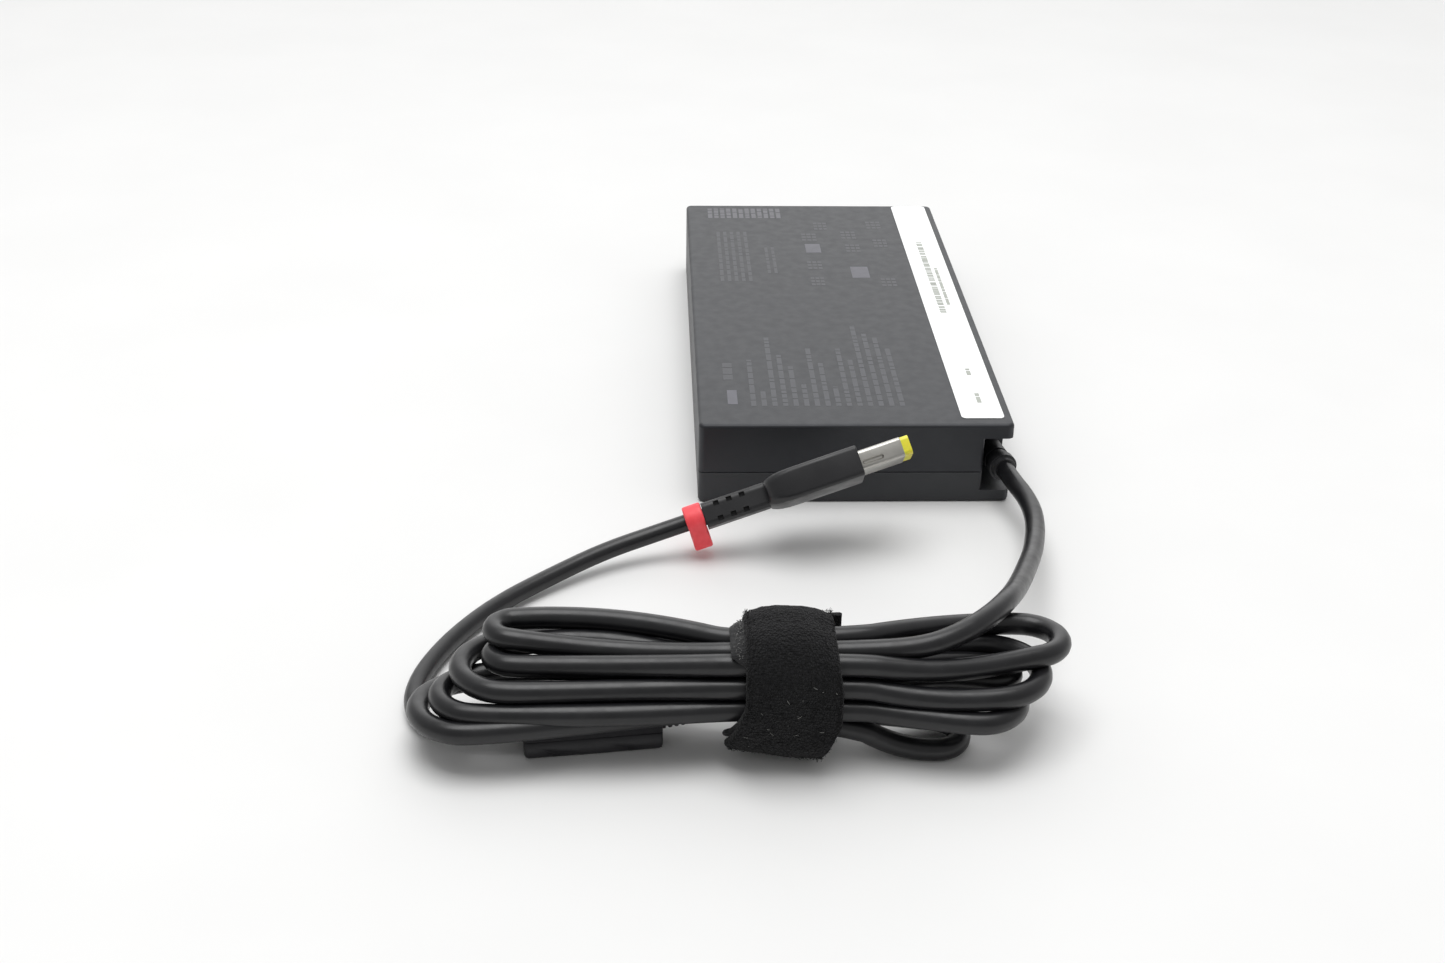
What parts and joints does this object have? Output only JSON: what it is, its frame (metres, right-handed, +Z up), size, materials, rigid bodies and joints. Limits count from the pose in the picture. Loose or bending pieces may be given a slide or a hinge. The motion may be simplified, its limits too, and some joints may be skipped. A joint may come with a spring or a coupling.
{
  "type": "laptop power adapter",
  "caption": "Slim rectangular laptop power adapter with a mains inlet in one end and a low-voltage cord, tied in a hank, with a slim rectangular plug.",
  "frame": {"origin": "centre of the brick's bottom face, on the surface that the adapter lies on", "axes": "+Z up from the table; +Y along the brick, from the end that the low-voltage cord leaves to the end with the mains inlet; +X across the brick"},
  "size_m": [0.1408, 0.2631, 0.0288],
  "materials": {
    "case_plastic": "finely textured moulded plastic",
    "sticker_paper": "smooth printed film",
    "inlet_plastic": "smooth moulded",
    "pin_metal": "nickel plated",
    "board_laminate": "solder mask",
    "component_plastic": "moulded epoxy",
    "capacitor_box": "moulded box",
    "thermal_rubber": "soft pad",
    "ferrite": "sintered",
    "copper_wire": "enamelled wire",
    "capacitor_sleeve": "shrink sleeve",
    "winding_tape": "polyester tape",
    "heatsink_metal": "punched sheet",
    "disc_ceramic": "dipped epoxy",
    "spreader_metal": "rolled sheet",
    "film_plastic": "clear film",
    "relief_rubber": "soft moulded",
    "lead_insulation": "insulated wire",
    "cord_rubber": "satin jacket",
    "bead_plastic": "moulded cover",
    "hook_fabric": "hook tape",
    "pile_fabric": "brushed loop pile",
    "plug_plastic": "moulded grip",
    "plug_metal": "nickel plated shell",
    "tip_plastic": "moulded insulator",
    "band_rubber": "soft moulded loop"
  },
  "bodies": {
    "root": {"bead_core": "ferrite", "bead_housing": "bead_plastic", "bottom_shell": "case_plastic", "bridge_rectifier": "component_plastic", "bulk_capacitor_1": "capacitor_sleeve", "bulk_capacitor_2": "capacitor_sleeve", "case_strain_relief": "relief_rubber", "choke_core": "ferrite", "choke_winding": "copper_wire", "circuit_board": "board_laminate", "controller_chip": "component_plastic", "cord_adapter_run": "cord_rubber", "cord_bead_lead": "cord_rubber", "cord_hank": "cord_rubber", "cord_plug_run": "cord_rubber", "earth_pin": "pin_metal", "inductor_core": "ferrite", "inductor_winding": "copper_wire", "inlet_housing": "inlet_plastic", "input_fuse": "component_plastic", "insulating_film": "film_plastic", "line_pin": "pin_metal", "lower_heat_spreader": "spreader_metal", "neutral_pin": "pin_metal", "optocoupler": "component_plastic", "output_capacitors": "capacitor_sleeve", "output_lead_negative": "lead_insulation", "output_lead_positive": "lead_insulation", "plug_centre_pin": "pin_metal", "plug_grip": "plug_plastic", "plug_shell": "plug_metal", "plug_strain_relief": "relief_rubber", "plug_tip": "tip_plastic", "primary_heatsink": "heatsink_metal", "primary_transistors": "component_plastic", "secondary_heatsink": "heatsink_metal", "secondary_transistors": "component_plastic", "strap_hook_tape": "hook_fabric", "strap_pile_tape": "pile_fabric", "thermal_pad": "thermal_rubber", "top_shell": "case_plastic", "transformer_core": "ferrite", "transformer_winding": "winding_tape", "upper_heat_spreader": "spreader_metal", "white_sticker": "sticker_paper", "x_capacitor": "capacitor_box", "y_capacitors": "disc_ceramic"},
    "tab": {"strap_tab": "pile_fabric"},
    "band": {"marker_band": "band_rubber"}
  },
  "joints": [
    {"name": "tab_peel", "type": "hinge", "parent": "root", "child": "tab", "pos_m": [-0.0215, -0.16266, 0.0226], "axis": [1, 0, 0], "range_deg": [0, 110]},
    {"name": "band_turn", "type": "hinge", "parent": "root", "child": "band", "pos_m": [-0.03938, -0.10131, 0.00923], "axis": [0.9471, 0.133, 0.292], "continuous": true}
  ]
}
